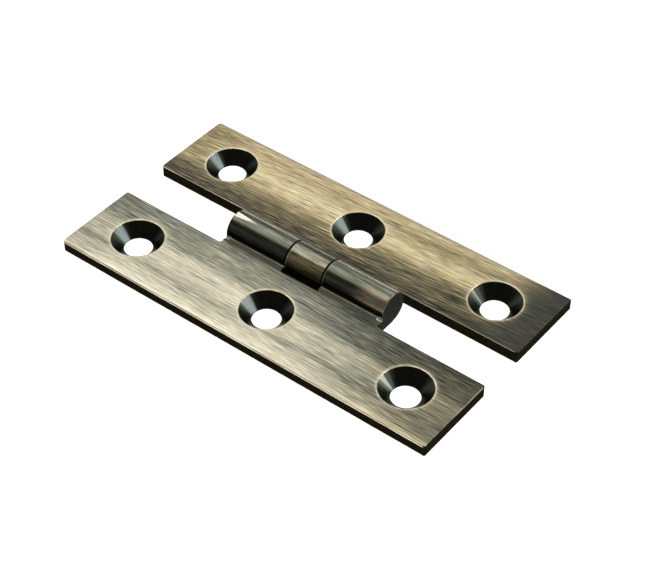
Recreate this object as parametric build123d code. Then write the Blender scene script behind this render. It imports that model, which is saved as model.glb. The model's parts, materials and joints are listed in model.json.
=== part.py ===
from build123d import *
import math
import os

# H hinge in solid drawn brass: two flat leaves that turn on one pin.
# X runs along the pin, Y across the two open leaves and Z up from their backs.
# The origin is on the back plane, under the middle of the pin. Sizes are in millimetres.

# Open hinge
hinge_length = 64.0
open_width = 35.0
leaf_thickness = 2.0

# Barrel: two outer knuckles on one leaf and a middle knuckle on the other
barrel_diameter = 5.0
barrel_length = 28.0
middle_knuckle_length = 6.4
knuckle_gap = 0.12
knuckle_edge_break = 0.15

# Pin, pressed into the outer knuckles and free to turn in the middle one
pin_diameter = 2.5
pin_press = 0.005
pin_running_clearance = 0.03

# Leaf edges beside the barrel
barrel_clearance = 0.75
tab_step = 0.55
tab_corner_radius = 0.4

# Raised shoulder of the drawn section, along the foot of the barrel
shoulder_height = 0.25
shoulder_slope_run = 0.25
foot_radius = 0.15

# Filed bevel that takes the shoulder down at the barrel's ends
relief_set_back = 1.0
relief_tilt = 25.0
relief_skew = 35.0

# Countersunk screw holes
holes_per_leaf = 3
hole_diameter = 4.2
countersink_diameter = 7.7
countersink_angle = 90.0
hole_from_leaf_end = 8.1
hole_from_outer_edge = 7.0

# Rolled top edge along the outside of each leaf, tangent to the face
edge_roll_run = 1.2
edge_roll_drop = 0.3

# Broken edges
leaf_corner_radius = 0.3
leaf_edge_break = 0.12
rim_break_run = 0.15
rim_break_depth = 0.06

# Places across the leaf, as distances from the pin's axis
barrel_radius = barrel_diameter / 2
slot_edge = barrel_radius + barrel_clearance
inner_edge = slot_edge + tab_step
outer_edge = open_width / 2
hole_line = outer_edge - hole_from_outer_edge

# Places along the pin, as distances from its middle
barrel_end = barrel_length / 2
middle_knuckle_end = middle_knuckle_length / 2
outer_knuckle_start = middle_knuckle_end + knuckle_gap
end_hole = hinge_length / 2 - hole_from_leaf_end
outer_knuckles = [(-barrel_end, -outer_knuckle_start), (outer_knuckle_start, barrel_end)]
middle_knuckle = [(-middle_knuckle_end, middle_knuckle_end)]
middle_slot = [(-outer_knuckle_start, outer_knuckle_start)]

# Heights above the back plane, which the barrel touches
axis_height = barrel_radius
shoulder_top = leaf_thickness + shoulder_height


def leaf_outline(tab_end):
    """Plan of one leaf, with the tab that reaches in to the pin's axis."""
    with BuildSketch() as plan:
        with Locations((0, -(inner_edge + outer_edge) / 2)):
            RectangleRounded(hinge_length, outer_edge - inner_edge, leaf_corner_radius)
        with Locations((0, -inner_edge / 2)):
            Rectangle(2 * tab_end, inner_edge)
        corners = plan.vertices().filter_by(
            lambda v: math.isclose(v.Y, -inner_edge, abs_tol=1e-6)
            and math.isclose(abs(v.X), tab_end, abs_tol=1e-6)
        )
        fillet(corners, tab_corner_radius)
    return plan.sketch


def edge_roll():
    """Cutter that rolls the outer edge of the leaf's face over."""
    radius = (edge_roll_run**2 + edge_roll_drop**2) / (2 * edge_roll_drop)
    turn = math.degrees(math.asin(edge_roll_run / radius))
    start = -outer_edge + edge_roll_run
    with BuildSketch(Plane.YZ) as section:
        with BuildLine():
            CenterArc((start, leaf_thickness - radius), radius, 90, turn)
            Polyline(
                (-outer_edge, leaf_thickness - edge_roll_drop),
                (-outer_edge - leaf_thickness, leaf_thickness - edge_roll_drop),
                (-outer_edge - leaf_thickness, 2 * leaf_thickness),
                (start, 2 * leaf_thickness),
                (start, leaf_thickness),
            )
        make_face()
    return extrude(section.sketch, hinge_length, both=True)


def knuckle_section():
    """Drawn section of the barrel, its shoulder and the strip of leaf that carries them."""
    meet_angle = 180 - math.degrees(math.asin((shoulder_top - axis_height) / barrel_radius))
    meet_y = barrel_radius * math.cos(math.radians(meet_angle))
    with BuildSketch(Plane.YZ) as section:
        with BuildLine():
            CenterArc((0, axis_height), barrel_radius, -90, meet_angle + 90)
            Polyline(
                (meet_y, shoulder_top),
                (-slot_edge + shoulder_slope_run, shoulder_top),
                (-slot_edge, leaf_thickness),
                (-slot_edge, 0),
                (0, 0),
            )
        make_face()
        foot = section.vertices().filter_by(lambda v: math.isclose(v.X, meet_y, abs_tol=1e-6))
        fillet(foot, foot_radius)
    return section.sketch


def knuckle(start, end):
    """One knuckle, drawn along the pin, with the rims of its barrel broken."""
    body = Pos(start, 0, 0) * extrude(knuckle_section(), end - start, dir=(1, 0, 0))
    rounds = body.faces().filter_by(Axis.X).edges().filter_by(GeomType.CIRCLE)
    rims = rounds.filter_by(lambda e: math.isclose(e.radius, barrel_radius, abs_tol=1e-6))
    return chamfer(rims, knuckle_edge_break)


def rod_on_axis(radius, length):
    """Round rod centred on the pin's axis."""
    return Pos(0, 0, axis_height) * Cylinder(radius, length, rotation=(0, 90, 0))


def end_relief():
    """Cutter for the bevel at the barrel's +X end, which falls towards the end."""
    block = Box(barrel_length, barrel_length, barrel_radius, align=(Align.MIN, Align.CENTER, Align.MIN))
    start = Pos(barrel_end - relief_set_back, -barrel_radius, shoulder_top)
    slanted = start * Rot(0, 0, relief_skew) * Rot(0, relief_tilt, 0) * block
    reach = Box(barrel_length, slot_edge, barrel_length, align=(Align.MIN, Align.MAX, Align.MIN))
    return (slanted & reach) - rod_on_axis(barrel_radius, 2 * hinge_length)


def screw_hole():
    """Cutter for one screw hole, its countersink and the break round the rim."""
    spread = math.tan(math.radians(countersink_angle / 2))
    rim = countersink_diameter / 2
    rim_height = leaf_thickness - rim_break_depth
    depth = min((rim - hole_diameter / 2) / spread, rim_height)
    foot = rim - depth * spread
    with BuildSketch(Plane.XZ) as half:
        with BuildLine():
            Polyline(
                (0, -leaf_thickness),
                (foot, -leaf_thickness),
                (foot, rim_height - depth),
                (rim, rim_height),
                (rim + rim_break_run, leaf_thickness),
                (0, leaf_thickness),
                close=True,
            )
        make_face()
    return revolve(half.sketch, Axis.Z)


def leaf(knuckles, slots, bore_diameter):
    """One leaf, on the -Y side of the pin, with knuckles and slots over spans along the pin."""
    body = extrude(leaf_outline(knuckles[-1][1]), leaf_thickness) - edge_roll()
    for start, end in slots:
        slot = Box(end - start, 2 * slot_edge, 4 * leaf_thickness)
        body -= Pos((start + end) / 2, 0, 0) * slot
    body = chamfer(body.edges().filter_by(Plane.XY), leaf_edge_break)
    for start, end in knuckles:
        body += knuckle(start, end)
    body -= rod_on_axis(bore_diameter / 2, 2 * barrel_length)
    pitch = 2 * end_hole / (holes_per_leaf - 1)
    for i in range(holes_per_leaf):
        body -= Pos(-end_hole + i * pitch, -hole_line, 0) * screw_hole()
    return body


def two_knuckle_leaf():
    """The -Y leaf, which holds the pin in its outer knuckles."""
    body = leaf(outer_knuckles, middle_slot, pin_diameter - 2 * pin_press)
    relief = end_relief()
    return body - relief - mirror(relief, Plane.YZ)


def one_knuckle_leaf():
    """The +Y leaf, which turns on the pin by its middle knuckle."""
    body = leaf(middle_knuckle, [], pin_diameter + 2 * pin_running_clearance)
    return Rot(0, 0, 180) * body


def main():
    """Build the three pieces and write each to its own file."""
    pieces = {
        "two_knuckle_leaf": two_knuckle_leaf(),
        "one_knuckle_leaf": one_knuckle_leaf(),
        "hinge_pin": rod_on_axis(pin_diameter / 2, barrel_length),
    }
    os.makedirs("parts", exist_ok=True)
    for name, shape in pieces.items():
        shape.label = name
        export_step(shape, f"parts/{name}.step")
        print(f"{name}: {shape.volume:.1f} mm3, {len(shape.solids())} solid")


main()
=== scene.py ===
"""An H hinge in brushed antique brass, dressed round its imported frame.

X runs along the pin, Y across the two open leaves and Z up from their backs.
"""

import json
import logging
import math
from dataclasses import dataclass, field
from enum import Enum

import bmesh
import bpy
from mathutils import Matrix, Vector


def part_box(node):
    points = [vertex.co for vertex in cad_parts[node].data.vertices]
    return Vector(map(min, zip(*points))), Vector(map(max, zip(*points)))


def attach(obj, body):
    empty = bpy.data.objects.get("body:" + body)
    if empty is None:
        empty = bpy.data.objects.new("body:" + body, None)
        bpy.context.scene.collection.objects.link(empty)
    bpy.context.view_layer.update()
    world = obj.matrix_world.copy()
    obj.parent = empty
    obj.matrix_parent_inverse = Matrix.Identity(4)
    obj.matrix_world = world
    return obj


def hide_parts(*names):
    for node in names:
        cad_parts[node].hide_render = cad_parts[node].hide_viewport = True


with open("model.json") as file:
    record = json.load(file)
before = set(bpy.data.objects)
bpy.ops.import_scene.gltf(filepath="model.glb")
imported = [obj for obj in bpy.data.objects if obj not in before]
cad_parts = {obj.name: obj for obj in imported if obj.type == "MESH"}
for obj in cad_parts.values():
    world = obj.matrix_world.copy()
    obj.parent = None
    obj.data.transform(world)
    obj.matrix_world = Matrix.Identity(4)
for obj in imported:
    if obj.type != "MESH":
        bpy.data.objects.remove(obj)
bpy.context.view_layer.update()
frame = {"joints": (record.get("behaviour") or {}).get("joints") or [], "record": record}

MM = 0.001
SAME_POINT = 0.0001 * MM
TOUCHING = 0.01 * MM
log = logging.getLogger("h_hinge")

# A place along the pin, in millimetres, that is off the hinge, for a mark that a piece lacks
NOWHERE = -100.0


class Solid(Enum):
    """How two closed meshes are combined."""

    JOIN = "UNION"
    CUT = "DIFFERENCE"


class Region(Enum):
    """The surfaces of a leaf, each with a finish of its own."""

    FACE = 0
    BACK = 1
    SIDE = 2
    EDGE = 3
    SINK = 4
    RIM = 5
    BARREL = 6
    BARREL_END = 7
    BARREL_RIM = 8
    SHOULDER = 9
    RELIEF = 10
    FOOT = 11


class Side(Enum):
    """Which side of the pin a leaf lies on, as the sign of Y."""

    NEAR = -1
    FAR = 1


def swatch(red: int, green: int, blue: int) -> tuple[float, float, float, float]:
    """Turns a colour as seen on a screen into the linear colour a shader takes.

    Args:
        red: Red, from 0 to 255.
        green: Green, from 0 to 255.
        blue: Blue, from 0 to 255.

    Returns:
        The linear colour with an alpha of 1.
    """
    linear = []
    for channel in (red, green, blue):
        share = channel / 255
        linear.append(share / 12.92 if share <= 0.04045 else ((share + 0.055) / 1.055) ** 2.4)
    return (*linear, 1.0)


class Value:
    """One output of a shader node, with Python's operators for its maths."""

    def __init__(self, plan: "ShaderPlan", socket: bpy.types.NodeSocket) -> None:
        """Keeps the socket and the plan that its Math nodes are added to."""
        self.plan = plan
        self.socket = socket

    def _maths(self, operation: str, first: "Value | float", second: "Value | float") -> "Value":
        """Adds one Math node."""
        return self.plan.node("ShaderNodeMath", {"operation": operation}, {0: first, 1: second})

    def __add__(self, other: "Value | float") -> "Value":
        """Adds."""
        return self._maths("ADD", self, other)

    def __radd__(self, other: float) -> "Value":
        """Adds to a number."""
        return self._maths("ADD", other, self)

    def __sub__(self, other: "Value | float") -> "Value":
        """Subtracts."""
        return self._maths("SUBTRACT", self, other)

    def __rsub__(self, other: float) -> "Value":
        """Subtracts from a number."""
        return self._maths("SUBTRACT", other, self)

    def __mul__(self, other: "Value | float") -> "Value":
        """Multiplies."""
        return self._maths("MULTIPLY", self, other)

    def __rmul__(self, other: float) -> "Value":
        """Multiplies a number."""
        return self._maths("MULTIPLY", other, self)

    def __truediv__(self, other: "Value | float") -> "Value":
        """Divides."""
        return self._maths("DIVIDE", self, other)

    def __abs__(self) -> "Value":
        """Drops the sign."""
        return self._maths("ABSOLUTE", self, 0.0)

    def at_least(self, floor: "Value | float") -> "Value":
        """Keeps the larger of this and another value."""
        return self._maths("MAXIMUM", self, floor)

    def at_most(self, ceiling: "Value | float") -> "Value":
        """Keeps the smaller of this and another value."""
        return self._maths("MINIMUM", self, ceiling)

    def nearest(self, pitch: float, most: float) -> "Value":
        """Rounds to the nearest whole number of pitches, most of them at the furthest."""
        steps = self._maths("ROUND", self / pitch, 0.0)
        return steps.at_least(-most).at_most(most) * pitch

    def root(self) -> "Value":
        """The square root."""
        return self._maths("SQRT", self, 0.0)

    def angle_from(self, across: "Value") -> "Value":
        """The angle in degrees of a point whose height this is, 90 straight up."""
        return self._maths("ARCTAN2", self, across) * math.degrees(1.0)

    def bell(self, centre: float, width: float) -> "Value":
        """A smooth hump, 1 at its centre and about a third one width away."""
        offset = (self - centre) / width
        return self._maths("EXPONENT", offset * offset * -1.0, 0.0)

    def rise(self, start: float, end: float) -> "Value":
        """A smooth step from 0 at start to 1 at end, which may be the lower of the two."""
        ends = {"Value": self, "From Min": start, "From Max": end}
        return self.plan.node("ShaderNodeMapRange", {"interpolation_type": "SMOOTHSTEP"}, ends)


class ShaderPlan:
    """The node tree of one material."""

    def __init__(self, name: str) -> None:
        """Starts a material that holds one Principled shader.

        Args:
            name: The material's name.
        """
        self.material = bpy.data.materials.new(name)
        self.material.use_nodes = True
        self.tree = self.material.node_tree
        self.shader = self.tree.nodes["Principled BSDF"]

    def node(self, kind: str, settings: dict, values: dict, output: "int | str" = 0) -> Value:
        """Adds a node.

        Args:
            kind: The node's type.
            settings: Its own settings, set first. A ramp's stops are given as "stops".
            values: What goes into its sockets, by name or place: a Value or a constant.
            output: The socket to return, by name or place.

        Returns:
            The chosen output.
        """
        made = self.tree.nodes.new(kind)
        for name, setting in settings.items():
            if name == "stops":
                self._set_stops(made.color_ramp, setting)
            else:
                setattr(made, name, setting)
        for name, value in values.items():
            self.feed(made.inputs[name], value)
        return Value(self, made.outputs[output])

    def feed(self, socket: bpy.types.NodeSocket, value: "Value | float | tuple") -> None:
        """Links a Value to a socket, or sets a constant on it.

        Args:
            socket: The socket that is fed.
            value: The Value or the constant.
        """
        if isinstance(value, Value):
            self.tree.links.new(value.socket, socket)
        else:
            socket.default_value = value

    def _set_stops(self, ramp: bpy.types.ColorRamp, stops: tuple) -> None:
        """Gives a colour ramp its stops.

        Args:
            ramp: The ramp, which starts with two stops.
            stops: Two or more stops in order, each a place from 0 to 1 and a colour.
        """
        while len(ramp.elements) < len(stops):
            ramp.elements.new(1.0)
        for element, (place, colour) in zip(ramp.elements, stops):
            element.position = place
            element.color = colour

    def place(self) -> tuple[Value, Value, Value]:
        """The point on the piece, in millimetres, as three Values."""
        spot = self.node("ShaderNodeTexCoord", {}, {}, "Object")
        return tuple(
            self.node("ShaderNodeSeparateXYZ", {}, {0: spot}, axis) / MM for axis in ("X", "Y", "Z"))

    def vector(self, x: "Value | float", y: "Value | float", z: "Value | float") -> Value:
        """Puts three values together as a vector."""
        return self.node("ShaderNodeCombineXYZ", {}, {0: x, 1: y, 2: z})

    def grain(self, along: Value, across: Value, length: float, width: float, seed: float,
              detail: float = 3.0) -> Value:
        """Noise drawn out one way, as brushing leaves it.

        Args:
            along: Distance along the brushing, in millimetres.
            across: Distance across it, in millimetres.
            length: About how long a streak is, in millimetres.
            width: About how wide it is, in millimetres.
            seed: Where in the noise to look, so that two uses differ.
            detail: How many finer layers it has.

        Returns:
            A value from about -1 to 1.
        """
        spot = self.vector(along / length, across / width, seed)
        values = {"Vector": spot, "Scale": 1.0, "Detail": detail, "Roughness": 0.6}
        noise = self.node("ShaderNodeTexNoise", {}, values)
        return (noise - 0.5) * 4.0

    def cloud(self, x: Value, y: Value, z: Value, scale: float) -> Value:
        """Soft noise from 0 to 1 that runs no way in particular, with its scale per millimetre."""
        values = {"Vector": self.vector(x, y, z), "Scale": scale, "Detail": 4.0}
        return self.node("ShaderNodeTexNoise", {}, values)

    def ramp(self, value: Value, stops: tuple) -> Value:
        """Turns a value into a colour through stops."""
        return self.node("ShaderNodeValToRGB", {"stops": stops}, {"Fac": value})

    def blend(self, share: "Value | float", first: "Value | tuple", second: "Value | tuple") -> Value:
        """Mixes two colours."""
        settings = {"data_type": "RGBA"}
        return self.node("ShaderNodeMix", settings, {0: share, 6: first, 7: second}, 2)

    def scaled(self, colour: Value, shade: Value) -> Value:
        """Makes a colour lighter or darker."""
        return self.node("ShaderNodeVectorMath", {"operation": "SCALE"}, {0: colour, "Scale": shade})

    def tinted(self, colour: Value, cast: Value) -> Value:
        """Multiplies a colour by another."""
        return self.node("ShaderNodeVectorMath", {"operation": "MULTIPLY"}, {0: colour, 1: cast})

    def bump(self, height: Value, depth: float) -> None:
        """Feeds a height, in units of depth in metres, to the shader's normal."""
        values = {"Height": height, "Strength": 1.0, "Distance": depth}
        self.feed(self.shader.inputs["Normal"], self.node("ShaderNodeBump", {}, values))

    def dress(self, **values: "Value | float | tuple") -> bpy.types.Material:
        """Sets the shader's sockets.

        Args:
            values: A Value or a constant for each socket, named with underscores for spaces.

        Returns:
            The material.
        """
        for name, value in values.items():
            self.feed(self.shader.inputs[name.replace("_", " ")], value)
        return self.material


@dataclass(frozen=True)
class HingeSizes:
    """Sizes of the hinge in metres and degrees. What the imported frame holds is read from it."""

    half_length: float
    outer_edge: float
    axis_height: float
    pin_radius: float
    barrel_end: float
    hole_line: float
    end_hole: float
    hole_radius: float
    leaf_thickness: float = 2.0 * MM
    slot_edge: float = 3.25 * MM
    inner_edge: float = 3.8 * MM
    middle_knuckle_end: float = 3.2 * MM
    outer_knuckle_start: float = 3.32 * MM
    running_clearance: float = 0.03 * MM
    tab_corner_radius: float = 0.4 * MM
    shoulder_top: float = 2.25 * MM
    shoulder_slope_run: float = 0.25 * MM
    foot_radius: float = 0.15 * MM
    relief_set_back: float = 1.0 * MM
    relief_tilt: float = 25.0
    relief_skew: float = 35.0
    rim_radius: float = 3.85 * MM
    rim_break_run: float = 0.15 * MM
    rim_break_depth: float = 0.06 * MM
    edge_roll_run: float = 1.2 * MM
    edge_roll_drop: float = 0.3 * MM
    leaf_corner_radius: float = 0.3 * MM
    leaf_edge_break: float = 0.12 * MM
    knuckle_edge_break: float = 0.15 * MM
    holes: int = 3

    @classmethod
    def from_frame(cls) -> "HingeSizes":
        """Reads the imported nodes' boxes and the record's screw holes.

        Returns:
            The sizes.
        """
        leaf_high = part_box("one_knuckle_leaf")[1]
        pin_low, pin_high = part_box("hinge_pin")
        mounts = {m["name"]: m for m in frame["record"]["mounts"]}
        screws = mounts["one_knuckle_leaf_end_screws"]
        return cls(
            half_length=leaf_high.x,
            outer_edge=leaf_high.y,
            axis_height=frame["joints"][0]["pos_m"][2],
            pin_radius=(pin_high.z - pin_low.z) / 2,
            barrel_end=pin_high.x,
            hole_line=screws["pos_m"][1],
            end_hole=screws["dims"]["spacing_x_mm"] / 2 * MM,
            hole_radius=screws["dims"]["hole_r_mm"] * MM,
        )

    @property
    def barrel_radius(self) -> float:
        """The barrel touches the back plane, so its radius is the pin's height above it."""
        return self.axis_height

    @property
    def hole_pitch(self) -> float:
        """Distance between neighbouring screw holes."""
        return 2 * self.end_hole / (self.holes - 1)

    @property
    def edge_roll_radius(self) -> float:
        """Radius of the arc that leaves the face at its run and ends at its drop."""
        return (self.edge_roll_run**2 + self.edge_roll_drop**2) / (2 * self.edge_roll_drop)


def arc(centre: tuple, radius: float, start: float, end: float, steps: int) -> list[tuple]:
    """Points along an arc.

    Args:
        centre: The arc's centre.
        radius: Its radius.
        start: Angle of the first point, in degrees.
        end: Angle of the last point, in degrees.
        steps: How many straight steps it is made of.

    Returns:
        The points, steps + 1 of them.
    """
    angles = [math.radians(start + (end - start) * i / steps) for i in range(steps + 1)]
    return [(centre[0] + radius * math.cos(a), centre[1] + radius * math.sin(a)) for a in angles]


def rounded(corners: list[tuple], steps: int) -> list[tuple]:
    """Points round an outline of square corners, with an arc in each that has a radius.

    Args:
        corners: The corners in order, each as x, y and radius.
        steps: How many straight steps each arc is made of.

    Returns:
        The points.
    """
    points = []
    for i, (x, y, radius) in enumerate(corners):
        corner = Vector((x, y))
        back = (Vector(corners[i - 1][:2]) - corner).normalized()
        ahead = (Vector(corners[(i + 1) % len(corners)][:2]) - corner).normalized()
        if radius == 0.0:
            points.append((x, y))
            continue
        centre = corner + (back + ahead) * radius
        for step in range(steps + 1):
            turn = math.radians(90.0 * step / steps)
            points.append(tuple(centre - (ahead * math.cos(turn) + back * math.sin(turn)) * radius))
    return points


def new_object(name: str, data: bpy.types.ID) -> bpy.types.Object:
    """Puts a mesh, a light or a camera into the scene.

    Args:
        name: The object's name.
        data: The mesh, light or camera that it shows.

    Returns:
        The object.
    """
    made = bpy.data.objects.new(name, data)
    bpy.context.scene.collection.objects.link(made)
    return made


def settle(piece: bpy.types.Object) -> None:
    """Turns what a piece's modifiers show into its own plain mesh and removes them.

    Args:
        piece: The piece with its modifiers.
    """
    graph = bpy.context.evaluated_depsgraph_get()
    plain = bpy.data.meshes.new_from_object(piece.evaluated_get(graph))
    piece.modifiers.clear()
    piece.data = plain


def combine(piece: bpy.types.Object, tool: bpy.types.Object, how: Solid) -> None:
    """Joins a tool to a piece, or cuts it out, and removes the tool.

    Args:
        piece: The closed mesh that is changed.
        tool: The closed mesh that is joined to it or cut from it.
        how: Join or cut.
    """
    step = piece.modifiers.new("combine", "BOOLEAN")
    step.operation = how.value
    step.solver = "MANIFOLD"
    step.object = tool
    settle(piece)
    bpy.data.objects.remove(tool)


def loft(name: str, rings: list[list[Vector]]) -> bpy.types.Object:
    """A closed solid through rings of points, all with as many points.

    Args:
        name: The object's name.
        rings: The rings, in order.

    Returns:
        The object.
    """
    shape = bmesh.new()
    rows = [[shape.verts.new(point) for point in ring] for ring in rings]
    count = len(rings[0])
    for low, high in zip(rows, rows[1:]):
        for i in range(count):
            j = (i + 1) % count
            shape.faces.new((low[i], low[j], high[j], high[i]))
    shape.faces.new(rows[0][::-1])
    shape.faces.new(rows[-1])
    bmesh.ops.remove_doubles(shape, verts=shape.verts[:], dist=SAME_POINT)
    bmesh.ops.recalc_face_normals(shape, faces=shape.faces[:])
    mesh = bpy.data.meshes.new(name)
    shape.to_mesh(mesh)
    shape.free()
    return new_object(name, mesh)


def rod(name: str, radius: float, start: float, end: float, height: float,
        facets: int) -> bpy.types.Object:
    """A round rod along X.

    Args:
        name: The object's name.
        radius: Its radius.
        start: X of its first end.
        end: X of its last end.
        height: Z of its axis.
        facets: How many flats it has round it.

    Returns:
        The object.
    """
    section = arc((0.0, height), radius, 0.0, 360.0, facets)[:-1]
    return loft(name, [[Vector((x, y, z)) for y, z in section] for x in (start, end)])


Feed = bpy.types.NodeSocket | float


class ScrewHoleRow:
    """Geometry Nodes that cut a row of countersunk screw holes through a leaf."""

    INPUTS = {
        "Holes": "NodeSocketInt",
        "Pitch": "NodeSocketFloat",
        "Hole Line": "NodeSocketFloat",
        "Drill Radius": "NodeSocketFloat",
        "Rim Radius": "NodeSocketFloat",
        "Leaf Thickness": "NodeSocketFloat",
        "Break Run": "NodeSocketFloat",
        "Break Depth": "NodeSocketFloat",
        "Facets": "NodeSocketInt",
        "Finish": "NodeSocketMaterial",
    }

    def __init__(self) -> None:
        """Builds the tree."""
        self.tree = bpy.data.node_groups.new("screw_hole_row", "GeometryNodeTree")
        face = self.tree.interface
        face.new_socket("Geometry", in_out="INPUT", socket_type="NodeSocketGeometry")
        for name, kind in self.INPUTS.items():
            face.new_socket(name, in_out="INPUT", socket_type=kind)
        face.new_socket("Geometry", in_out="OUTPUT", socket_type="NodeSocketGeometry")
        self.entry = self.tree.nodes.new("NodeGroupInput").outputs
        self._build()

    def _node(self, kind: str, settings: dict, values: dict) -> bpy.types.Node:
        """Adds a node, sets it and fills its sockets.

        Args:
            kind: The node's type.
            settings: Its own settings.
            values: A link or a constant for each socket, by name or place.

        Returns:
            The node.
        """
        made = self.tree.nodes.new(kind)
        for name, setting in settings.items():
            setattr(made, name, setting)
        for name, value in values.items():
            if isinstance(value, bpy.types.NodeSocket):
                self.tree.links.new(value, made.inputs[name])
            else:
                made.inputs[name].default_value = value
        return made

    def _maths(self, operation: str, first: Feed, second: Feed) -> bpy.types.NodeSocket:
        """Adds one Math node and returns its value."""
        return self._node("ShaderNodeMath", {"operation": operation}, {0: first, 1: second}).outputs[0]

    def _cone(self, run: Feed, drop: Feed, reach: Feed) -> bpy.types.NodeSocket:
        """A cone that opens upwards, with its point below and its wide end past the leaf's face.

        Args:
            run: How far its wall goes outwards over drop.
            drop: The height over which it does so.
            reach: Radius where it passes the leaf's face.

        Returns:
            The cone, placed so that it passes the leaf's face at that radius.
        """
        twice = self._maths("MULTIPLY", reach, 2.0)
        depth = self._maths("DIVIDE", self._maths("MULTIPLY", twice, drop), run)
        shape = {"Vertices": self.entry["Facets"], "Radius Top": twice, "Radius Bottom": 0.0,
                 "Depth": depth}
        cone = self._node("GeometryNodeMeshCone", {"fill_type": "NGON"}, shape).outputs["Mesh"]
        half = self._maths("MULTIPLY", depth, 0.5)
        base = self._maths("SUBTRACT", self.entry["Leaf Thickness"], half)
        lift = self._node("ShaderNodeCombineXYZ", {}, {"Z": base}).outputs[0]
        moved = self._node("GeometryNodeTransform", {}, {"Geometry": cone, "Translation": lift})
        return moved.outputs[0]

    def _build(self) -> None:
        """Makes one cutter, sets it along the row and cuts the leaf with all of them."""
        entry = self.entry
        sink_at_face = self._maths("ADD", entry["Rim Radius"], entry["Break Depth"])
        sink = self._cone(1.0, 1.0, sink_at_face)
        break_at_face = self._maths("ADD", entry["Rim Radius"], entry["Break Run"])
        rim = self._cone(entry["Break Run"], entry["Break Depth"], break_at_face)
        # The drill's middle is on the leaf's back, so that it reaches past both faces
        length = self._maths("MULTIPLY", entry["Leaf Thickness"], 4.0)
        shape = {"Vertices": entry["Facets"], "Radius": entry["Drill Radius"], "Depth": length}
        drill = self._node("GeometryNodeMeshCylinder", {}, shape).outputs["Mesh"]
        cutter = self._node("GeometryNodeJoinGeometry", {}, {})
        for part in (sink, rim, drill):
            self.tree.links.new(part, cutter.inputs[0])
        last = self._maths("SUBTRACT", entry["Holes"], 1.0)
        span = self._maths("MULTIPLY", last, entry["Pitch"])
        first = self._maths("MULTIPLY", span, -0.5)
        start = self._node("ShaderNodeCombineXYZ", {}, {"X": first, "Y": entry["Hole Line"]})
        step = self._node("ShaderNodeCombineXYZ", {}, {"X": entry["Pitch"]})
        row = self._node("GeometryNodeMeshLine", {}, {
            "Count": entry["Holes"], "Start Location": start.outputs[0], "Offset": step.outputs[0]})
        placed = self._node("GeometryNodeInstanceOnPoints", {}, {
            "Points": row.outputs[0], "Instance": cutter.outputs[0]})
        whole = self._node("GeometryNodeRealizeInstances", {}, {"Geometry": placed.outputs[0]})
        cut = self._node("GeometryNodeMeshBoolean", {"operation": "DIFFERENCE", "solver": "EXACT"}, {
            "Mesh 1": entry["Geometry"], "Mesh 2": whole.outputs[0], "Self Intersection": True})
        done = self._node("GeometryNodeRealizeInstances", {}, {"Geometry": cut.outputs[0]})
        dressed = self._node("GeometryNodeSetMaterial", {}, {
            "Geometry": done.outputs[0], "Material": entry["Finish"]})
        leave = self.tree.nodes.new("NodeGroupOutput")
        self.tree.links.new(dressed.outputs[0], leave.inputs[0])

    def cut(self, piece: bpy.types.Object, **sizes: "float | int | bpy.types.Material") -> None:
        """Cuts the row through a piece and leaves a plain mesh.

        Args:
            piece: The leaf.
            sizes: The tree's inputs by name, with underscores for spaces.
        """
        step = piece.modifiers.new("screw_holes", "NODES")
        step.node_group = self.tree
        identifiers = {s.name: s.identifier for s in self.tree.interface.items_tree}
        for name, size in sizes.items():
            step[identifiers[name.replace("_", " ")]] = size
        settle(piece)


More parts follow.
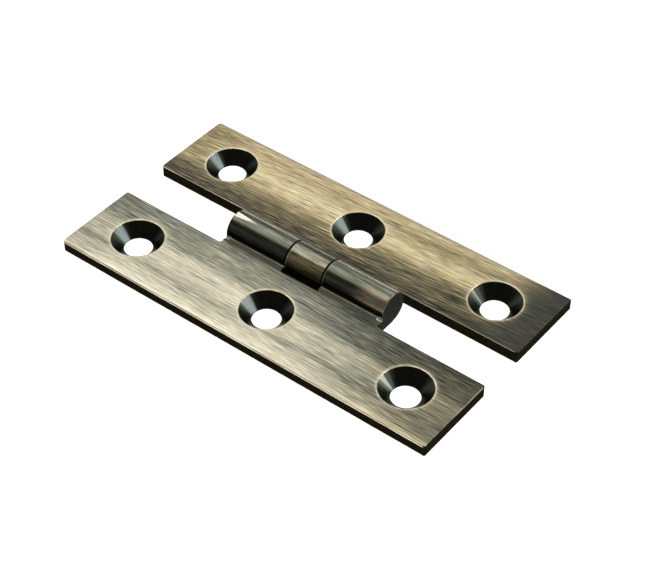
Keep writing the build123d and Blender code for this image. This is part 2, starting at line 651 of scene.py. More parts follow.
@dataclass
class Leaf:
    """One leaf: its plate, its knuckles and its screw holes."""

    # How upright a face's normal is where one region ends and another begins
    LEVEL = 0.999
    NEARLY_LEVEL = 0.97
    ROLLED = 0.87
    RAISED = 0.3
    STEEP = 0.2
    UPRIGHT = 0.1

    # How far a normal turns along the pin: at the barrel's end, on the filed bevel, on its wall
    END_ON = 0.95
    TURNED_TO_END = 0.2
    BARREL_WALL = 0.15

    name: str
    body: str
    side: Side
    sizes: HingeSizes
    knuckles: list[tuple[float, float]]
    slot: float
    bore_radius: float
    finishes: dict[Region, bpy.types.Material]
    facet_angle: float = 2.5
    corner_steps: int = 8
    edge_steps: int = 3
    roll_steps: int = 10
    foot_steps: int = 8
    hole_facets: int = 96
    tab_reach: float = 2.0 * MM
    smooth_below: float = 38.0
    piece: bpy.types.Object = field(init=False)

    def build(self) -> bpy.types.Object:
        """Makes the leaf's mesh, dresses it and sets it on its body.

        Returns:
            The finished piece.
        """
        sizes = self.sizes
        self.piece = self._plate()
        for start, end in self.knuckles:
            combine(self.piece, self._knuckle(start, end), Solid.JOIN)
        bore = rod("bore", self.bore_radius, -2 * sizes.barrel_end, 2 * sizes.barrel_end,
                   sizes.axis_height, self.round_facets)
        combine(self.piece, bore, Solid.CUT)
        if self.slot:
            for hand in (-1, 1):
                combine(self.piece, self._relief(hand), Solid.CUT)
        ScrewHoleRow().cut(
            self.piece, Holes=sizes.holes, Pitch=sizes.hole_pitch, Hole_Line=-sizes.hole_line,
            Drill_Radius=sizes.hole_radius, Rim_Radius=sizes.rim_radius,
            Leaf_Thickness=sizes.leaf_thickness, Break_Run=sizes.rim_break_run,
            Break_Depth=sizes.rim_break_depth, Facets=self.hole_facets,
            Finish=self.finishes[Region.FACE],
        )
        if self.side is Side.FAR:
            self.piece.data.transform(Matrix.Rotation(math.pi, 4, "Z"))
        self._shade()
        self._dress()
        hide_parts(self.name)
        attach(self.piece, self.body)
        log.info("%s: %d faces", self.piece.name, len(self.piece.data.polygons))
        return self.piece

    def _outline(self) -> list[tuple]:
        """The plate's plan on the -Y side, anticlockwise, with the tab that carries the knuckles.

        Returns:
            The points, in metres.
        """
        sizes = self.sizes
        tab = self.knuckles[-1][1]
        length, outer, inner = sizes.half_length, -sizes.outer_edge, -sizes.inner_edge
        blunt, root = sizes.leaf_corner_radius, sizes.tab_corner_radius
        right = [(length, outer, blunt), (length, inner, blunt), (tab, inner, root),
                 (tab, -self.tab_reach, 0.0)]
        if self.slot:
            right += [(self.slot, -self.tab_reach, 0.0), (self.slot, -sizes.slot_edge, 0.0)]
        left = [(-x, y, radius) for x, y, radius in reversed(right)]
        return rounded(right + left, self.corner_steps)

    @property
    def round_facets(self) -> int:
        """How many flats go round the whole barrel."""
        return int(360.0 / self.facet_angle)

    def _plate(self) -> bpy.types.Object:
        """The flat plate with all its long edges rounded.

        Returns:
            The plate as a closed mesh.
        """
        sizes = self.sizes
        shape = bmesh.new()
        floor = [shape.verts.new((x, y, 0.0)) for x, y in self._outline()]
        base = shape.faces.new(floor)
        raised = bmesh.ops.extrude_face_region(shape, geom=[base])["geom"]
        top = [v for v in raised if isinstance(v, bmesh.types.BMVert)]
        bmesh.ops.translate(shape, verts=top, vec=(0.0, 0.0, sizes.leaf_thickness))
        bmesh.ops.recalc_face_normals(shape, faces=shape.faces[:])
        rims = [e for e in shape.edges if abs(e.verts[0].co.z - e.verts[1].co.z) < TOUCHING]
        bmesh.ops.bevel(shape, geom=rims, offset=sizes.leaf_edge_break, offset_type="OFFSET",
                        segments=self.edge_steps, profile=0.5, affect="EDGES", clamp_overlap=True)
        self._roll_edge(shape)
        mesh = bpy.data.meshes.new(self.name)
        shape.to_mesh(mesh)
        shape.free()
        return new_object(self.name + "_brass", mesh)

    def _roll_edge(self, shape: bmesh.types.BMesh) -> None:
        """Rolls the outer edge of the plate's face over, along an arc that leaves it smoothly.

        Args:
            shape: The plate, which is changed.
        """
        sizes = self.sizes
        start = sizes.outer_edge - sizes.edge_roll_run
        for i in range(self.roll_steps):
            cut = -start - sizes.edge_roll_run * i / self.roll_steps
            bmesh.ops.bisect_plane(shape, geom=shape.verts[:] + shape.edges[:] + shape.faces[:],
                                   plane_co=(0.0, cut, 0.0), plane_no=(0.0, 1.0, 0.0))
        radius = sizes.edge_roll_radius
        for vert in shape.verts:
            past = -vert.co.y - start
            if past > 0.0 and vert.co.z > sizes.leaf_thickness / 2:
                vert.co.z -= radius - math.sqrt(radius**2 - past**2)

    def _section(self, radius: float) -> list[tuple]:
        """The drawn section of barrel, shoulder and strip, with the barrel at a given radius.

        Args:
            radius: The barrel's radius there, which is less in the rounding of a rim.

        Returns:
            The points as (y, z), anticlockwise seen from +X.
        """
        sizes = self.sizes
        foot = sizes.foot_radius
        lift = sizes.shoulder_top + foot - sizes.axis_height
        foot_y = -math.sqrt((radius + foot) ** 2 - lift**2)
        meet = 360.0 + math.degrees(math.atan2(lift, foot_y))
        steps = int(meet + 90.0) // int(2 * self.facet_angle) * 2
        round_part = arc((0.0, sizes.axis_height), radius, -90.0, meet, steps)
        foot_part = arc((foot_y, sizes.shoulder_top + foot), foot, meet - 180.0, -90.0, self.foot_steps)
        return [(0.0, 0.0)] + round_part + foot_part[1:] + [
            (-sizes.slot_edge + sizes.shoulder_slope_run, sizes.shoulder_top),
            (-sizes.slot_edge, sizes.leaf_thickness),
            (-sizes.slot_edge, 0.0),
        ]

    def _knuckle(self, start: float, end: float) -> bpy.types.Object:
        """One knuckle with its rims rounded.

        Args:
            start: X of its first end.
            end: X of its last end.

        Returns:
            The knuckle as a closed mesh.
        """
        size = self.sizes.knuckle_edge_break
        turns = [math.radians(90.0 * i / self.edge_steps) for i in range(self.edge_steps + 1)]
        inset = [(size * (1 - math.cos(t)), size * (1 - math.sin(t))) for t in turns]
        stations = [(start + run, drop) for run, drop in inset]
        stations += [(end - run, drop) for run, drop in reversed(inset)]
        rings = []
        for x, drop in stations:
            section = self._section(self.sizes.barrel_radius - drop)
            rings.append([Vector((x, y, z)) for y, z in section])
        return loft("knuckle", rings)

    def _relief(self, hand: int) -> bpy.types.Object:
        """The tool that files the bevel at one end of the barrel's foot.

        Args:
            hand: 1 for the +X end and -1 for the other.

        Returns:
            The tool as a closed mesh.
        """
        sizes = self.sizes
        size = sizes.barrel_end
        low = [Vector((x, y, 0.0)) for x, y in ((0, -size), (size, -size), (size, size), (0, size))]
        tool = loft("relief", [low, [p + Vector((0.0, 0.0, size)) for p in low]])
        corner = Vector((size - sizes.relief_set_back, -sizes.barrel_radius, sizes.shoulder_top))
        turn = Matrix.Rotation(math.radians(sizes.relief_skew), 4, "Z")
        tilt = Matrix.Rotation(math.radians(sizes.relief_tilt), 4, "Y")
        tool.data.transform(Matrix.Translation(corner) @ turn @ tilt)
        reach = 2 * sizes.half_length
        combine(tool, rod("keep", sizes.barrel_radius, -reach, reach, sizes.axis_height,
                          self.round_facets), Solid.CUT)
        plate = [Vector((x, y, -reach)) for x, y in (
            (-reach, -reach), (reach, -reach), (reach, -sizes.slot_edge), (-reach, -sizes.slot_edge))]
        combine(tool, loft("keep", [plate, [p + Vector((0.0, 0.0, 2 * reach)) for p in plate]]),
                Solid.CUT)
        if hand < 0:
            tool.data.transform(Matrix.Scale(-1.0, 4, (1.0, 0.0, 0.0)))
            tool.data.flip_normals()
        return tool

    def _shade(self) -> None:
        """Shades the mesh smooth between its sharp edges and keeps its flats flat."""
        mesh = self.piece.data
        mesh.shade_smooth()
        mesh.set_sharp_from_angle(angle=math.radians(self.smooth_below))
        weighted = self.piece.modifiers.new("flats", "WEIGHTED_NORMAL")
        weighted.keep_sharp = True
        weighted.weight = 100
        settle(self.piece)

    def _region(self, centre: Vector, normal: Vector) -> Region:
        """Says which surface a face belongs to.

        Args:
            centre: The face's centre, in metres.
            normal: The face's normal.

        Returns:
            The region.
        """
        sizes = self.sizes
        nearest = max(-1, min(1, round(centre.x / sizes.hole_pitch))) * sizes.hole_pitch
        from_hole = math.hypot(centre.x - nearest, abs(centre.y) - sizes.hole_line)
        from_axis = math.hypot(centre.y, centre.z - sizes.axis_height)
        over_pin = centre.y * self.side.value < sizes.slot_edge + TOUCHING
        rim_end = sizes.rim_radius + sizes.rim_break_run
        if from_hole < sizes.rim_radius and abs(normal.z) < self.NEARLY_LEVEL:
            return Region.SINK
        if from_hole < rim_end and self.STEEP < normal.z < self.LEVEL:
            return Region.RIM
        if over_pin and abs(centre.x) < sizes.barrel_end + TOUCHING:
            if abs(normal.x) > self.END_ON:
                return Region.BARREL_END
            if from_axis < sizes.barrel_radius + TOUCHING:
                return Region.BARREL if abs(normal.x) < self.BARREL_WALL else Region.BARREL_RIM
            if normal.z > self.RAISED and abs(normal.x) > self.TURNED_TO_END:
                return Region.RELIEF
            beside_barrel = from_axis < sizes.barrel_radius + sizes.foot_radius
            if normal.z < self.NEARLY_LEVEL and beside_barrel:
                return Region.FOOT
            if normal.z > self.RAISED:
                return Region.SHOULDER
        if normal.z > self.ROLLED:
            return Region.FACE
        if normal.z < -self.NEARLY_LEVEL:
            return Region.BACK
        return Region.SIDE if abs(normal.z) < self.UPRIGHT else Region.EDGE

    def _dress(self) -> None:
        """Gives each face the finish of its region."""
        mesh = self.piece.data
        mesh.materials.clear()
        for region in Region:
            mesh.materials.append(self.finishes[region])
        for polygon in mesh.polygons:
            polygon.material_index = self._region(polygon.center, polygon.normal).value


@dataclass
class HingePin:
    """The pin, finished flush with the barrel's ends."""

    sizes: HingeSizes
    finish: bpy.types.Material
    facets: int = 96
    smooth_below: float = 30.0

    def build(self) -> bpy.types.Object:
        """Makes the pin and sets it on the leaf that holds it.

        Returns:
            The finished piece.
        """
        end = self.sizes.barrel_end
        piece = rod("turned_pin", self.sizes.pin_radius, -end, end, self.sizes.axis_height,
                    self.facets)
        piece.data.shade_smooth()
        piece.data.set_sharp_from_angle(angle=math.radians(self.smooth_below))
        piece.data.materials.append(self.finish)
        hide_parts("hinge_pin")
        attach(piece, "fixed_leaf")
        log.info("%s: %d faces", piece.name, len(piece.data.polygons))
        return piece


# Tones of brushed brass, each at a tone from 0 to 1 that stands both for how brightly it is rubbed
# and for painted highlight and shade
GOLDEN = (
    (0.15, swatch(30, 31, 26)),
    (0.27, swatch(68, 69, 62)),
    (0.43, swatch(115, 107, 84)),
    (0.60, swatch(165, 150, 113)),
    (0.78, swatch(214, 199, 157)),
    (1.00, swatch(250, 238, 200)),
)
GREENISH = (
    (0.15, swatch(34, 34, 29)),
    (0.35, swatch(90, 90, 81)),
    (0.52, swatch(131, 134, 120)),
    (0.66, swatch(173, 169, 147)),
    (0.80, swatch(212, 205, 180)),
    (1.00, swatch(246, 240, 218)),
)

# Bands round the barrel, each with its angle in degrees from +Y over the top. Over patina that
# darkens towards the foot they paint light: a painted reflection of the far leaf high on the far
# side, a dark band of painted shade next to it, a painted highlight over the crown and painted
# shade down the near flank
OUTER_KNUCKLE_PATINA_AND_LIGHT = (
    (66, swatch(163, 165, 148)),
    (76, swatch(138, 140, 123)),
    (85, swatch(82, 83, 72)),
    (94, swatch(122, 124, 109)),
    (99, swatch(128, 130, 114)),
    (105, swatch(113, 115, 101)),
    (117, swatch(104, 105, 91)),
    (123, swatch(70, 68, 54)),
    (130, swatch(56, 53, 41)),
    (141, swatch(82, 79, 69)),
    (147, swatch(68, 68, 60)),
    (154, swatch(34, 36, 30)),
    (164, swatch(26, 26, 18)),
    (176, swatch(30, 29, 18)),
)
MIDDLE_KNUCKLE_PATINA_AND_LIGHT = (
    (63, swatch(131, 129, 111)),
    (73, swatch(122, 120, 104)),
    (80, swatch(94, 93, 80)),
    (87, swatch(96, 95, 81)),
    (93, swatch(147, 145, 126)),
    (104, swatch(121, 119, 103)),
    (111, swatch(150, 148, 128)),
    (118, swatch(154, 152, 130)),
    (124, swatch(144, 131, 94)),
    (132, swatch(143, 128, 90)),
    (141, swatch(139, 127, 94)),
    (148, swatch(110, 101, 77)),
    (154, swatch(74, 66, 46)),
    (160, swatch(58, 52, 34)),
    (167, swatch(86, 78, 60)),
)


@dataclass(frozen=True)
class BrushedFace:
    """A leaf's face or back: blackened brass brushed along its length, rubbed bright in places, with
    painted highlight and shade in its tone.
    """

    # Casts that the tones are multiplied by, and how bright the rims of the countersinks are rubbed
    COOL = (0.975, 1.0, 1.04, 1.0)
    WARM = (1.035, 0.995, 0.93, 1.0)
    BROWN = (1.07, 0.985, 0.85, 1.0)
    SLATE = (0.94, 1.0, 1.12, 1.0)
    RIM_TONE = 0.84

    # How much each layer of the brushing changes the tone, from the finest to the broadest
    HAIR = 0.20
    FINE = 0.20
    MIDDLE = 0.07
    BROAD = 0.03
    FLECK = 0.06

    # Depth that one step of the brushing's noise stands for
    SCRATCH = 0.003 * MM

    name: str
    side: Side
    stops: tuple
    brush_tilt: float
    strength: float
    seed: float
    hole_line: float
    hole_pitch: float
    rim: float
    sunk: bool

    def material(self) -> bpy.types.Material:
        """Makes the material.

        Returns:
            The material.
        """
        plan = ShaderPlan(self.name)
        x, y, _ = plan.place()
        out = y * self.side.value
        tilt = math.radians(self.brush_tilt)
        along = x * math.cos(tilt) + y * math.sin(tilt)
        across = y * math.cos(tilt) - x * math.sin(tilt)
        seed = self.seed
        hair = plan.grain(along, across, length=2.6, width=0.10, seed=seed + 3.0, detail=1.0)
        fine = plan.grain(along, across, length=8.0, width=0.13, seed=seed, detail=2.0)
        middle = plan.grain(along, across, length=14.0, width=0.4, seed=seed + 7.0, detail=2.0)
        broad = plan.grain(along, across, length=20.0, width=1.5, seed=seed + 13.0, detail=1.0)
        fleck = plan.grain(along, across, length=1.4, width=0.24, seed=seed + 19.0, detail=1.0)
        patch = plan.grain(along, across, length=5.0, width=0.6, seed=seed + 29.0, detail=1.0)
        # Tone of rubbed patina with painted highlight and shade
        wear_and_light = self._near(x, out) if self.side is Side.NEAR else self._far(x, out)
        streaks = hair * self.HAIR + fine * self.FINE + middle * self.MIDDLE + broad * self.BROAD
        streaks = streaks * self.strength
        if self.side is Side.FAR:
            streaks = streaks * (1.0 - x.rise(20.0, 29.0) * 0.6)
        tone = wear_and_light + streaks - fleck.rise(0.8, 1.4) * self.FLECK
        if self.sunk:
            tone = tone + (self.RIM_TONE - tone) * self._halo(x, out, fine + middle)
        colour = plan.ramp(tone, self.stops)
        cast = plan.blend(patch.rise(-0.9, 0.9), self.COOL, self.WARM)
        if self.side is Side.NEAR:
            cast = plan.blend(x.rise(12.0, 30.0), cast, self.BROWN)
        else:
            cast = plan.blend(x.rise(22.0, 30.0), cast, self.SLATE)
        colour = plan.tinted(colour, cast)
        plan.bump(fine + middle * 0.6, self.SCRATCH)
        rough = (0.46 - tone * 0.14 + fine * 0.03).at_least(0.2)
        return plan.dress(Base_Color=colour, Metallic=1.0, Roughness=rough)

    def _near(self, x: Value, out: Value) -> Value:
        """How bright the near leaf is: rubbed patina, darker towards the barrel from patina and painted
        shade, lighter along its outer edge from wear and a painted highlight.

        Args:
            x: Place along the pin, in millimetres.
            out: Distance from the pin's axis, in millimetres.

        Returns:
            The tone, from 0 for black to 1 for bright.
        """
        # Each rise or bell names places in millimetres, and its factor is the tone that it adds
        level = 0.745 - x.rise(-20.0, -31.0) * 0.08 - x.rise(2.0, 31.0) * 0.25
        depth = 0.15 + x.bell(-18.0, 5.0) * 0.04 + x.rise(-14.0, 8.0) * 0.075 - x.rise(18.0, 30.0) * 0.09
        # Darker towards the barrel: patina and painted shade
        inner = out.rise(9.6, 8.1) * depth + out.rise(6.0, 4.2) * 0.05
        ridges = out.bell(10.1, 0.55) * 0.06 + out.bell(12.0, 0.45) * x.rise(8.0, -6.0) * 0.05
        stripe = out.bell(14.0, 0.55) * 0.11
        # Lighter along the outer edge where the face rolls over: wear and a painted highlight
        front_sheen = out.rise(15.0, 17.0) * x.rise(30.0, 22.0) * 0.08 + out.rise(16.8, 17.3) * 0.12
        front_sheen = front_sheen + out.rise(16.6, 17.0) * x.rise(12.0, 30.0) * 0.20
        return level - inner + ridges - stripe + front_sheen

    def _far(self, x: Value, out: Value) -> Value:
        """How bright the far leaf is: rubbed patina, darker towards the barrel from patina and painted
        shade, with a painted highlight along its outer edge.

        Args:
            x: Place along the pin, in millimetres.
            out: Distance from the pin's axis, in millimetres.

        Returns:
            The tone, from 0 for black to 1 for bright.
        """
        # Each rise or bell names places in millimetres, and its factor is the tone that it adds
        skewed = out - (x + 10.0) * 0.03
        # Darker towards the barrel: patina and painted shade
        level = 0.70 - skewed.rise(10.2, 6.6) * 0.29 - out.rise(6.0, 4.4) * 0.10
        left = x.rise(-22.0, -31.0) * out.rise(8.0, 10.0)
        gold = out.bell(11.5, 0.9) * (1.0 - left) * 0.09
        tan = out.bell(14.6, 0.9) * (0.04 + x.rise(-5.0, 12.0) * 0.08)
        # Painted highlight along the outer edge where the face rolls over
        rolled_sheen = out.rise(16.2, 17.2) * 0.34
        bright = level + gold - tan - left * 0.10 + rolled_sheen
        dulled = (x - out.rise(12.0, 16.0) * 1.5).rise(20.0, 29.5)
        return bright + (0.30 - bright) * dulled

    def _halo(self, x: Value, out: Value, streaks: Value) -> Value:
        """How far the face is rubbed bright round the countersinks.

        Args:
            x: Place along the pin, in millimetres.
            out: Distance from the pin's axis, in millimetres.
            streaks: The brushing, which breaks the ring up.

        Returns:
            The share, from 0 to 1.
        """
        along = x - x.nearest(self.hole_pitch, 1.0)
        beside = out - self.hole_line
        away = (along * along + beside * beside).root()
        ring = away.bell(self.rim, 0.18) * 0.5
        return ring + away.bell(self.rim, 0.55) * (0.20 + streaks * 0.20).at_least(0.0)


@dataclass(frozen=True)
class KnuckleSkin:
    """The barrel: polished along its length, coloured by its angle round the pin with patina and with
    painted highlight, reflection and shade, darkest near its foot.
    """

    HALF_TURN = 180.0

    # How much of each mark's colour shows where the mark is whole
    STAIN_SHARE = 0.45
    RUBBED_SHARE = 0.55
    CREAM_SHARE = 0.9

    # The cream wedge at the barrel's -X end: its middle, and its half width for each millimetre
    WEDGE_ANGLE = 95.0
    WEDGE_SPREAD = 3.0

    # Depth that one step of the polishing's noise stands for
    SCRATCH = 0.0012 * MM

    name: str
    axis_height: float
    patina_and_light_bands: tuple
    stain: tuple
    rubbed: tuple
    cream: tuple
    mottle: float
    seed: float
    cream_until: float
    highlight_slant: float

    def material(self) -> bpy.types.Material:
        """Makes the material.

        Returns:
            The material.
        """
        plan = ShaderPlan(self.name)
        x, y, z = plan.place()
        turn = (z - self.axis_height).angle_from(y)
        girth = turn * math.radians(self.axis_height)
        fine = plan.grain(x, girth, length=3.5, width=0.12, seed=self.seed, detail=2.0)
        smear = plan.grain(x, girth, length=6.0, width=0.4, seed=self.seed + 3.0, detail=2.0)
        patch = plan.grain(x, girth, length=1.8, width=0.8, seed=self.seed + 5.0, detail=3.0)
        # The painted highlight and the painted dark band above it lean along the pin with x, as a
        # reflection moves
        slanted = turn - (x + 7.0) * self.highlight_slant * turn.rise(118.0, 100.0) + smear * 3.0
        stops = tuple((angle / self.HALF_TURN, colour) for angle, colour in self.patina_and_light_bands)
        # Colour by angle round the barrel: patina with painted highlight, reflection and shade
        colour = plan.ramp(slanted / self.HALF_TURN, stops)
        stained = patch.rise(0.4, 1.1)
        colour = plan.blend(stained * self.STAIN_SHARE, colour, self.stain)
        rubbed = x.rise(8.0, 11.0) * turn.rise(98.0, 106.0) * turn.rise(176.0, 150.0)
        colour = plan.blend(rubbed * self.RUBBED_SHARE, colour, self.rubbed)
        spread = (self.cream_until - x) * self.WEDGE_SPREAD
        wedge = (spread - abs(turn - self.WEDGE_ANGLE)).rise(-1.0, 2.0)
        colour = plan.blend(wedge * self.CREAM_SHARE, colour, self.cream)
        shade = (1.0 + fine * 0.60 + smear * 0.35 + patch * self.mottle).at_least(0.15)
        colour = plan.scaled(colour, shade)
        plan.bump(fine, self.SCRATCH)
        return plan.dress(Base_Color=colour, Metallic=1.0, Roughness=0.24 + patch * 0.04)


@dataclass(frozen=True)
class Blackened:
    """Metal left black by the bath, where no brush reached."""

    CLOUDS_PER_MM = 2.0
    LIGHTER = 1.8

    name: str
    colour: tuple
    rough: float = 0.5

    def material(self) -> bpy.types.Material:
        """Makes the material.

        Returns:
            The material.
        """
        plan = ShaderPlan(self.name)
        x, y, z = plan.place()
        mottle = plan.cloud(x, y, z, self.CLOUDS_PER_MM)
        lighter = tuple(min(1.0, self.LIGHTER * channel) for channel in self.colour)
        colour = plan.blend(mottle.rise(0.35, 0.75), self.colour, lighter)
        return plan.dress(Base_Color=colour, Metallic=0.0, Roughness=self.rough + mottle * 0.1,
                          Specular_IOR_Level=0.0)


@dataclass(frozen=True)
class TurnedSink:
    """A countersink's wall: black and glossy, painted lighter on one side, with a painted reflection at
    -X.
    """

    # Angles round the hole in degrees from +X, where the painted light side and the painted reflection
    # start and are whole
    LIT_GREY_SIDE = (75.0, 45.0)
    STREAK_SIDE = (163.0, 171.0)

    # The painted reflection is weaker in the right-hand holes: where that comes in, in millimetres, and
    # how far
    STREAK_WANES = (5.0, 20.0)
    WANED = 0.85

    name: str
    dark: tuple
    lit_grey: tuple
    reflected_streak: tuple
    edge_on: tuple
    side: Side
    hole_line: float
    hole_pitch: float

    def material(self) -> bpy.types.Material:
        """Makes the material.

        Returns:
            The material.
        """
        plan = ShaderPlan(self.name)
        x, y, z = plan.place()
        along = x - x.nearest(self.hole_pitch, 1.0)
        turn = (y - self.hole_line * self.side.value).angle_from(along)
        lines = plan.grain(z, turn, length=2.0, width=2.5, seed=3.0, detail=2.0)
        colour = plan.blend(turn.rise(*self.LIT_GREY_SIDE), self.dark, self.lit_grey)
        left_over = 1.0 - x.rise(*self.STREAK_WANES) * self.WANED
        reflected_streak = abs(turn).rise(*self.STREAK_SIDE) * left_over
        colour = plan.blend(reflected_streak, colour, self.reflected_streak)
        shade = (1.0 + lines * 0.35).at_least(0.3)
        colour = plan.scaled(colour, shade)
        return plan.dress(Base_Color=colour, Metallic=1.0, Roughness=0.26, Specular_Tint=self.edge_on)


@dataclass(frozen=True)
class WornEdge:
    """An edge rubbed through to bright brass in patches about as long as its length says."""

    name: str
    bright: tuple
    dull: tuple
    black: tuple
    length: float
    side: Side

    def material(self) -> bpy.types.Material:
        """Makes the material.

        Returns:
            The material.
        """
        plan = ShaderPlan(self.name)
        x, y, z = plan.place()
        wear = plan.cloud(x, y, z, 1.0 / self.length)
        colour = plan.blend(wear.rise(0.35, 0.65), self.dull, self.bright)
        colour = plan.blend(self._black_share(x, y * self.side.value), colour, self.black)
        return plan.dress(Base_Color=colour, Metallic=1.0, Roughness=0.35)

    def _black_share(self, x: Value, out: Value) -> "Value | float":
        """How far the edge is black, from 0 to 1, by place in millimetres."""
        return 0.0


@dataclass(frozen=True)
class LeafEdge(WornEdge):
    """The edges of a leaf's plate, black at its right-hand end."""

    def _black_share(self, x: Value, out: Value) -> Value:
        """Black on the right end, and on the leaf's inner edge.

        Args:
            x: Place along the pin, in millimetres.
            out: Distance from the pin's axis, in millimetres.

        Returns:
            The share of black, from 0 to 1.
        """
        end = x.rise(31.3, 31.8)
        if self.side is Side.NEAR:
            return (end * (0.72 + out.rise(6.0, 13.0) * 0.28) + out.rise(4.4, 4.1)).at_most(1.0)
        inner = out.rise(5.0, 4.2) * x.rise(-24.0, 20.0) * 0.25
        return (end + inner).at_most(1.0)


@dataclass(frozen=True)
class KnuckleRim(WornEdge):
    """The rims of a knuckle, black on one side as painted shade."""

    barrel_end: float

    def _black_share(self, x: Value, out: Value) -> Value:
        """Painted shade: black on the -X knuckle and on the middle one's +X rim, part black at the
        barrel's +X end.

        Args:
            x: Place along the pin, in millimetres.
            out: Distance from the pin's axis, in millimetres. Not used here.

        Returns:
            The share of black, from 0 to 1.
        """
        right_half = x.rise(-0.1, 0.1)
        if self.side is Side.FAR:
            return right_half
        return 1.0 - right_half + x.rise(self.barrel_end - 1.0, self.barrel_end - 0.9) * 0.65


@dataclass(frozen=True)
class FiledBevel:
    """Filed flats beside the barrel's foot, dull but for a painted highlight in the corner next to the
    barrel.
    """

    CORNER_SLOPE = 1.3
    CORNER_FADE = 0.15

    name: str
    dull: tuple
    cream: tuple
    glint_end: float
    foot_line: float

    def material(self) -> bpy.types.Material:
        """Makes the material.

        Returns:
            The material.
        """
        plan = ShaderPlan(self.name)
        x, y, _ = plan.place()
        marks = plan.grain(x, y, length=2.5, width=0.12, seed=5.0, detail=2.0)
        # Painted highlight in the corner next to the barrel, out to its end along the pin
        corner = self.glint_end - abs(x) - (-self.foot_line - y) * self.CORNER_SLOPE
        colour = plan.blend(corner.rise(0.0, self.CORNER_FADE), self.dull, self.cream)
        shade = (1.0 + marks * 0.3).at_least(0.3)
        colour = plan.scaled(colour, shade)
        return plan.dress(Base_Color=colour, Metallic=0.0, Roughness=0.75, Specular_IOR_Level=0.2)


@dataclass(frozen=True)
class SoftBox:
    """A flat soft light, with its places and sizes in metres."""

    name: str
    place: tuple
    aim: tuple
    width: float
    depth: float
    radiance: float

    def build(self) -> None:
        """Makes the light. Its power follows from how bright its face is to look."""
        data = bpy.data.lights.new(self.name, "AREA")
        data.shape = "RECTANGLE"
        data.size, data.size_y = self.width, self.depth
        data.energy = self.radiance * math.pi * self.width * self.depth
        light = new_object(self.name, data)
        light.location = self.place
        light.rotation_mode = "QUATERNION"
        light.rotation_quaternion = (Vector(self.aim) - Vector(self.place)).to_track_quat("-Z", "Y")


@dataclass
class Studio:
    """Floor, lights and camera."""

    room: float = 0.3
    floor_half: float = 2.0
    floor_glow: float = 0.85
    glow_on: tuple = (1.0, 1.0, 1.0, 1.0)
    glow_off: tuple = (0.0, 0.0, 0.0, 1.0)
    floor_pale: tuple = (0.9, 0.9, 0.9, 1.0)
    floor_shadow: tuple = (0.05, 0.05, 0.05, 1.0)

    # The floor's painted shadow in the slot between the leaves: where each edge starts and is whole, in
    # mm
    shadow_sides: tuple = (3.9, 3.6)
    shadow_front: tuple = (-3.8, -3.5)
    shadow_back: tuple = (0.2, -0.2)

    boxes: tuple = (
        SoftBox("overhead_box", (-0.35, 0.235, 0.5), (-0.35, 0.235, 0.0), 0.4, 0.83, 1.1),
        SoftBox("right_box", (0.5, 0.45, 0.5), (0.0, 0.0, 0.0), 0.5, 0.5, 6.0),
    )

    camera_place: Vector = field(default_factory=lambda: Vector((116.322, -146.394, 174.878)) * MM)
    camera_aim: Vector = field(default_factory=lambda: Vector((5.26, -2.379, 2.0)) * MM)
    camera_roll: float = 0.367
    lens: float = 97.654
    sensor: float = 36.0
    nearest_seen: float = 0.01

    def build(self) -> None:
        """Sets everything up."""
        self._floor()
        self._lights()
        self._camera()

    def _floor(self) -> None:
        """A plain pale floor, with a painted shadow where the slot between the leaves would shade it."""
        half = self.floor_half
        corners = [(-half, -half, 0.0), (half, -half, 0.0), (half, half, 0.0), (-half, half, 0.0)]
        mesh = bpy.data.meshes.new("floor")
        mesh.from_pydata(corners, [], [(0, 1, 2, 3)])
        floor = new_object("floor", mesh)
        plan = ShaderPlan("pale_floor")
        x, y, _ = plan.place()
        # Painted shadow: the floor loses its glow and darkens in the slot under the barrel
        painted_shadow = (abs(x).rise(*self.shadow_sides) * y.rise(*self.shadow_front)
                  * y.rise(*self.shadow_back))
        glow = plan.blend(painted_shadow, self.glow_on, self.glow_off)
        colour = plan.blend(painted_shadow, self.floor_pale, self.floor_shadow)
        floor.data.materials.append(plan.dress(
            Base_Color=colour, Roughness=1.0, Specular_IOR_Level=0.0, Emission_Color=glow,
            Emission_Strength=self.floor_glow))

    def _lights(self) -> None:
        """A dim even room, a soft box overhead and a brighter one to the right."""
        world = bpy.data.worlds.new("room")
        world.use_nodes = True
        world.node_tree.nodes["Background"].inputs[0].default_value = (*(self.room,) * 3, 1.0)
        bpy.context.scene.world = world
        bpy.context.scene.view_settings.view_transform = "Standard"
        for box in self.boxes:
            box.build()

    def _camera(self) -> None:
        """The camera, at the photograph's angle."""
        data = bpy.data.cameras.new("camera")
        data.lens = self.lens
        data.sensor_width = self.sensor
        data.clip_start = self.nearest_seen
        camera = new_object("camera", data)
        camera.location = self.camera_place
        look = (self.camera_aim - self.camera_place).to_track_quat("-Z", "Y")
        turned = look.to_matrix() @ Matrix.Rotation(math.radians(self.camera_roll), 3, "Z")
        camera.rotation_mode = "QUATERNION"
        camera.rotation_quaternion = turned.to_quaternion()
        bpy.context.scene.camera = camera


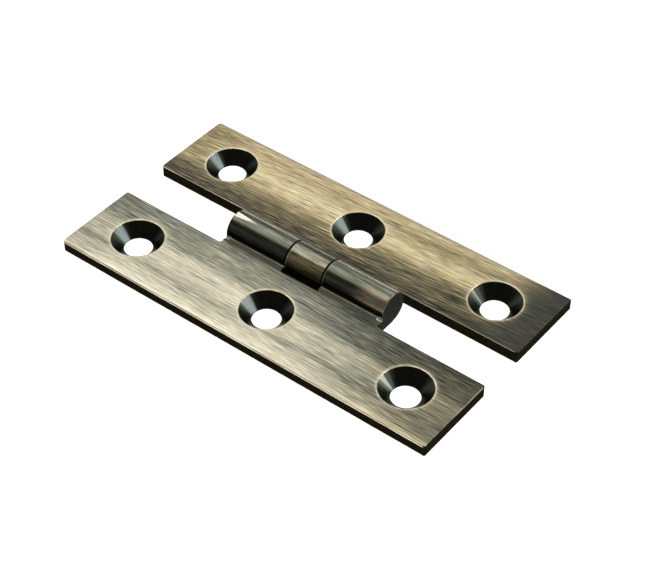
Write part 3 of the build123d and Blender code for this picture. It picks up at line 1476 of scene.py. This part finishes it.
def leaf_finishes(side: Side, sizes: HingeSizes) -> dict[Region, bpy.types.Material]:
    """Makes the finishes of one leaf.

    Args:
        side: The leaf's side.
        sizes: The hinge's sizes.

    Returns:
        A material for each region.
    """
    near = side is Side.NEAR
    tag = side.name.lower()
    holes = {"hole_line": sizes.hole_line / MM, "hole_pitch": sizes.hole_pitch / MM}
    rim = (sizes.rim_radius + sizes.rim_break_run) / MM
    tones = GREENISH if near else GOLDEN
    tilt, strength, seed = (-1.0, 0.92, 3.0) if near else (3.0, 1.12, 31.0)
    face, back = (
        BrushedFace(name=f"{tag}_{name}", side=side, stops=tones, brush_tilt=tilt,
                    strength=strength, seed=seed, rim=rim, sunk=name == "face", **holes).material()
        for name in ("face", "back"))
    # Colour by angle round each barrel: patina with painted highlight, reflection and shade
    patina_and_light_bands, mottle, seed = (OUTER_KNUCKLE_PATINA_AND_LIGHT, 0.2, 11.0) if near else (MIDDLE_KNUCKLE_PATINA_AND_LIGHT, 0.4, 17.0)
    skin = KnuckleSkin(
        name=f"{tag}_barrel", axis_height=sizes.axis_height / MM, patina_and_light_bands=patina_and_light_bands,
        stain=swatch(96, 76, 48), rubbed=swatch(172, 158, 128), cream=swatch(243, 237, 212),
        mottle=mottle, seed=seed, cream_until=-10.0 if near else NOWHERE,
        highlight_slant=0.45 if near else 0.0).material()
    black = Blackened(f"{tag}_side", swatch(22, 20, 13)).material()
    charcoal = Blackened(f"{tag}_end", swatch(36, 39, 33)).material()
    wear_and_light = {"black": swatch(24, 23, 18), "side": side}
    edge = LeafEdge(f"{tag}_edge", bright=swatch(245, 236, 205), dull=swatch(190, 180, 148),
                    length=5.0, **wear_and_light).material()
    knuckle_rim = KnuckleRim(f"{tag}_knuckle_rim", bright=swatch(232, 224, 190),
                             dull=swatch(160, 148, 112), length=1.5,
                             barrel_end=sizes.barrel_end / MM, **wear_and_light).material()
    sink_rim = WornEdge(f"{tag}_rim", bright=swatch(248, 238, 203), dull=swatch(200, 189, 153),
                        length=1.2, **wear_and_light).material()
    foot = WornEdge(f"{tag}_foot", bright=swatch(178, 175, 150), dull=swatch(138, 136, 112),
                    length=2.0, **wear_and_light).material()
    foot_line = sizes.barrel_radius / MM
    # The filed bevel's cream corner is a painted highlight; the shoulder's is set nowhere
    filed = FiledBevel(f"{tag}_filed", dull=swatch(104, 98, 68), cream=swatch(255, 252, 232),
                       glint_end=14.1, foot_line=foot_line).material()
    shoulder = FiledBevel(f"{tag}_shoulder", dull=swatch(112, 114, 98), cream=swatch(225, 215, 180),
                          glint_end=NOWHERE, foot_line=foot_line).material()
    # The countersink's lighter side and its stripe at -X are painted light
    sink = TurnedSink(f"{tag}_sink", dark=swatch(30, 30, 25), lit_grey=swatch(94, 99, 88),
                      reflected_streak=swatch(68, 74, 73), edge_on=(0.25, 0.25, 0.25, 1.0), side=side,
                      **holes).material()
    return {
        Region.FACE: face,
        Region.BACK: back,
        Region.SIDE: black,
        Region.EDGE: edge,
        Region.SINK: sink,
        Region.RIM: sink_rim,
        Region.BARREL: skin,
        Region.BARREL_END: charcoal,
        Region.BARREL_RIM: knuckle_rim,
        Region.SHOULDER: shoulder,
        Region.RELIEF: filed,
        Region.FOOT: foot,
    }


def main() -> None:
    """Builds the hinge and its studio."""
    logging.basicConfig(level=logging.INFO, format="%(name)s %(message)s")
    sizes = HingeSizes.from_frame()
    finishes = {side: leaf_finishes(side, sizes) for side in Side}
    near = Leaf(
        name="two_knuckle_leaf", body="fixed_leaf", side=Side.NEAR, sizes=sizes,
        knuckles=[(-sizes.barrel_end, -sizes.outer_knuckle_start),
                  (sizes.outer_knuckle_start, sizes.barrel_end)],
        slot=sizes.outer_knuckle_start, bore_radius=sizes.pin_radius,
        finishes=finishes[Side.NEAR],
    )
    near.build()
    far = Leaf(
        name="one_knuckle_leaf", body="swinging_leaf", side=Side.FAR, sizes=sizes,
        knuckles=[(-sizes.middle_knuckle_end, sizes.middle_knuckle_end)],
        slot=0.0, bore_radius=sizes.pin_radius + sizes.running_clearance,
        finishes=finishes[Side.FAR],
    )
    far.build()
    HingePin(sizes=sizes, finish=finishes[Side.NEAR][Region.BARREL_END]).build()
    Studio().build()


if __name__ == "__main__":
    main()
